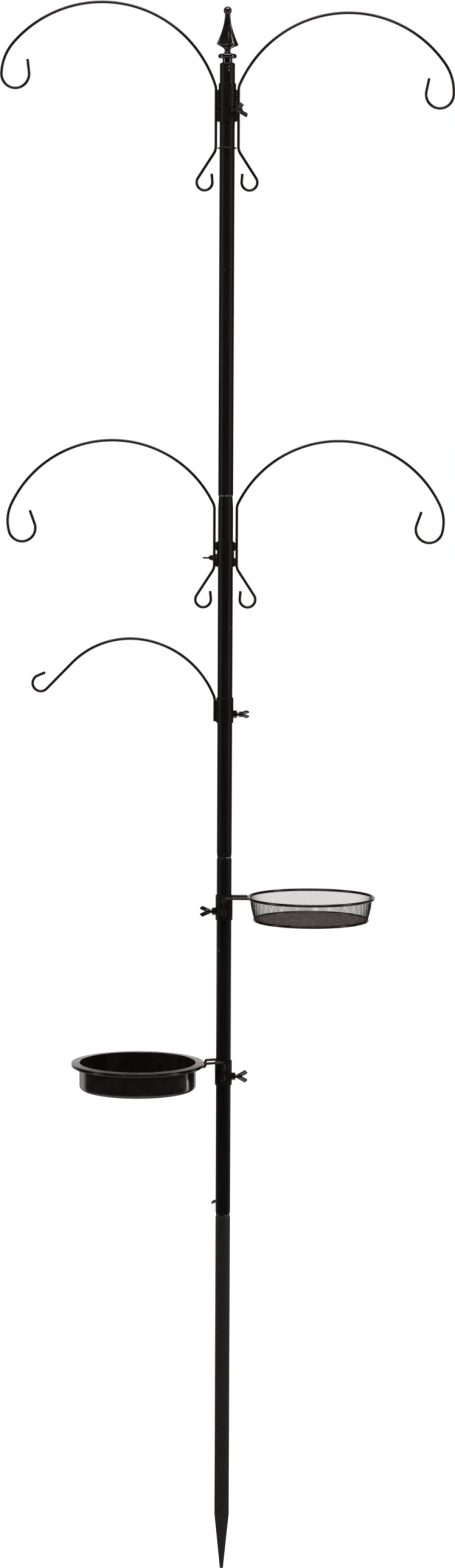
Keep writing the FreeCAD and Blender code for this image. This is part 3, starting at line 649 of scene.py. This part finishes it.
class FEEDER_OT_welds(bpy.types.Operator):
    """Lay lumpy weld metal between the sleeves and the wires"""
    bl_idname = "feeder.welds"
    bl_label = "Weld Beads"

    def execute(self, context):
        finish = context.scene.feeder_finish
        detail = context.scene.feeder_detail
        material, _, _, _ = coating(
            "weld_metal", finish.screw_colour, rough=0.26, grain=500.0, specular=0.7, bump=0.3)
        for name in BRACKETS:
            self.lay_metal(name, self.lumps(name, detail), detail, material)
        return {"FINISHED"}

    def run(self, x, y, low, high, detail):
        """Lump centres along an upright stretch of weld."""
        count = max(2, round((high - low) / detail.bead_pitch))
        return [Vector((x, y, low + (high - low) * step / count)) for step in range(count + 1)]

    def lumps(self, name, detail):
        """Where the lumps of one bracket's welds lie."""
        low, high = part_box(name + "_weld_beads")
        sleeve = node_radius(name + "_bracket_sleeve")
        foot, top = low.z + detail.bead_radius / 2, high.z - detail.bead_radius / 2
        tab = detail.bead_tab
        if name == "single":
            return self.run(low.x + detail.bead_radius, 0, foot, top, detail)
        places = []
        if name in ("upper", "lower"):
            stretches = [(foot, top)] if name == "upper" else [(foot, foot + tab), (top - tab, top)]
            for side in (low.x + detail.bead_radius, high.x - detail.bead_radius):
                for start, end in stretches:
                    places += self.run(side, 0, start, end, detail)
            return places
        ring = "tray_rim_ring" if name == "tray" else "dish_holder_ring"
        sleeve_low, sleeve_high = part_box(name + "_bracket_sleeve")
        centre = node_centre(ring)
        reach = node_radius(ring)
        seat = node_centre(name + "_front_rod").y
        lie = -math.copysign(math.sqrt(reach ** 2 - seat ** 2), centre.x)
        top = min(top, sleeve_high.z - tab / 2)
        for sense in (-1, 1):
            for side in (-detail.wire_radius, detail.wire_radius):
                for start, end in ((foot + tab / 2, foot + tab), (top - tab / 2, top)):
                    places += self.run(side, sense * (sleeve + detail.bead_radius / 4), start, end, detail)
            places.append(Vector((centre.x + lie, sense * seat, centre.z - detail.wire_radius / 4)))
        return places

    def lay_metal(self, name, places, detail, material):
        """Run the lumps together into one skin of weld metal."""
        deselect()
        bpy.ops.mesh.primitive_ico_sphere_add(subdivisions=3, radius=detail.bead_radius, location=places[0])
        bpy.ops.object.mode_set(mode="EDIT")
        for step, place in enumerate(places[1:]):
            radius = detail.bead_radius * (1 - LUMP_SWING + LUMP_SWING * math.sin(LUMP_RHYTHM * step))
            bpy.ops.mesh.primitive_ico_sphere_add(subdivisions=3, radius=radius, location=place)
        bpy.ops.object.mode_set(mode="OBJECT")
        apply_modifier("REMESH", mode="VOXEL", voxel_size=detail.bead_grain)
        apply_modifier("SMOOTH", iterations=2, factor=0.5)
        bpy.ops.object.shade_smooth()
        settle(name + "_weld_metal", name + "_bracket", material, (name + "_weld_beads",))


class FEEDER_OT_tray_net(bpy.types.Operator):
    """Weave the tray's fine mesh wall and floor in place of the coarse ones"""
    bl_idname = "feeder.tray_net"
    bl_label = "Tray Mesh"

    def execute(self, context):
        finish = context.scene.feeder_finish
        detail = context.scene.feeder_detail
        material, _, _, _ = coating("mesh_coat", finish.mesh_colour, rough=0.45, grain=400.0, specular=0.4)
        self.weave_wall(detail, material)
        # Floor mesh: wide light and dark mottle (shades 0.35 to 2.0), painted glints on the strands.
        floor, _, _, _ = coating(
            "mesh_floor_coat_and_glints", finish.floor_colour, rough=0.4, grain=170.0, specular=0.5, shades=(0.35, 2.0))
        self.weave_floor(detail, floor)
        return {"FINISHED"}

    def weave_wall(self, detail, material):
        """Tapered ring of quads, a little swollen at half height, opened to a net."""
        low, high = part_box("tray_mesh_wall")
        middle = node_centre("tray_mesh_wall")
        top_radius = node_radius("tray_mesh_wall") - detail.net_strand
        foot_radius = node_radius("tray_base_ring") - WALL_FOOT_INSET
        rise = (high.z - low.z) / detail.net_rows
        deselect()
        bpy.ops.mesh.primitive_circle_add(
            vertices=detail.net_columns, radius=foot_radius, location=(middle.x, middle.y, low.z))
        bpy.ops.object.mode_set(mode="EDIT")
        radius = foot_radius
        for row in range(detail.net_rows):
            height = low.z + rise * (row + 1)
            share = (row + 1) / detail.net_rows
            swell = detail.net_bulge * math.sin(math.pi * share)
            wider = foot_radius + (top_radius - foot_radius) * share + swell
            bpy.ops.mesh.extrude_region_move(TRANSFORM_OT_translate={"value": (0, 0, rise)})
            bpy.ops.transform.resize(
                value=(wider / radius, wider / radius, 1), center_override=(middle.x, middle.y, height))
            radius = wider
        bpy.ops.object.mode_set(mode="OBJECT")
        open_to_net(detail.net_strand)
        settle("tray_net_wall", "tray_bracket", material, ("tray_mesh_wall",))

    def weave_floor(self, detail, material):
        """Grid trimmed to a round and opened to a net."""
        middle = node_centre("tray_mesh_floor")
        reach = node_radius("tray_mesh_floor") + FLOOR_LAP
        cells = int(2 * reach / detail.floor_cell)
        deselect()
        bpy.ops.mesh.primitive_grid_add(
            x_subdivisions=cells, y_subdivisions=cells, size=2 * reach, location=middle)
        bpy.ops.object.mode_set(mode="EDIT")
        mesh = bmesh.from_edit_mesh(bpy.context.object.data)
        bpy.ops.mesh.select_all(action="DESELECT")
        bpy.ops.mesh.select_mode(type="FACE")
        for face in mesh.faces:
            face.select = max(vertex.co.length for vertex in face.verts) > reach
        bmesh.update_edit_mesh(bpy.context.object.data)
        bpy.ops.mesh.delete(type="FACE")
        bpy.ops.object.mode_set(mode="OBJECT")
        open_to_net(detail.net_strand * FLOOR_STRAND_SHARE)
        settle("tray_net_floor", "tray_bracket", material, ("tray_mesh_floor",))


class FEEDER_OT_dish(bpy.types.Operator):
    """Give the water dish its deep gloss"""
    bl_idname = "feeder.dish"
    bl_label = "Water Dish"

    def execute(self, context):
        finish = context.scene.feeder_finish
        material, _, _, _ = coating(
            "dish_gloss", finish.dish_colour, rough=0.16, grain=60.0, specular=0.7, bump=0.005)
        dress(("water_dish",), material)
        return {"FINISHED"}


class FEEDER_PT_panel(bpy.types.Panel):
    """Lists the stand's pieces and finishes"""
    bl_idname = "FEEDER_PT_panel"
    bl_label = "Feeder Stand"
    bl_space_type = "VIEW_3D"
    bl_region_type = "UI"
    bl_category = "Feeder Stand"

    def draw(self, context):
        layout = self.layout
        for operator in OPERATORS:
            layout.operator(operator.bl_idname)
        for group in (context.scene.feeder_finish, context.scene.feeder_detail, context.scene.feeder_stage):
            for name in group.__annotations__:
                layout.prop(group, name)


GROUPS = (FeederStage, FeederFinish, FeederDetail)
OPERATORS = (
    FEEDER_OT_stage, FEEDER_OT_poles, FEEDER_OT_finial, FEEDER_OT_wires, FEEDER_OT_clamps, FEEDER_OT_welds,
    FEEDER_OT_tray_net, FEEDER_OT_dish,
)


def register():
    for item in GROUPS + OPERATORS + (FEEDER_PT_panel,):
        bpy.utils.register_class(item)
    bpy.types.Scene.feeder_stage = bpy.props.PointerProperty(type=FeederStage)
    bpy.types.Scene.feeder_finish = bpy.props.PointerProperty(type=FeederFinish)
    bpy.types.Scene.feeder_detail = bpy.props.PointerProperty(type=FeederDetail)


def unregister():
    del bpy.types.Scene.feeder_detail
    del bpy.types.Scene.feeder_finish
    del bpy.types.Scene.feeder_stage
    for item in reversed(GROUPS + OPERATORS + (FEEDER_PT_panel,)):
        bpy.utils.unregister_class(item)


def main():
    register()
    bpy.ops.feeder.stage()
    bpy.ops.feeder.poles()
    bpy.ops.feeder.finial()
    bpy.ops.feeder.wires()
    bpy.ops.feeder.clamps()
    bpy.ops.feeder.welds()
    bpy.ops.feeder.tray_net()
    bpy.ops.feeder.dish()


if __name__ == "__main__":
    main()
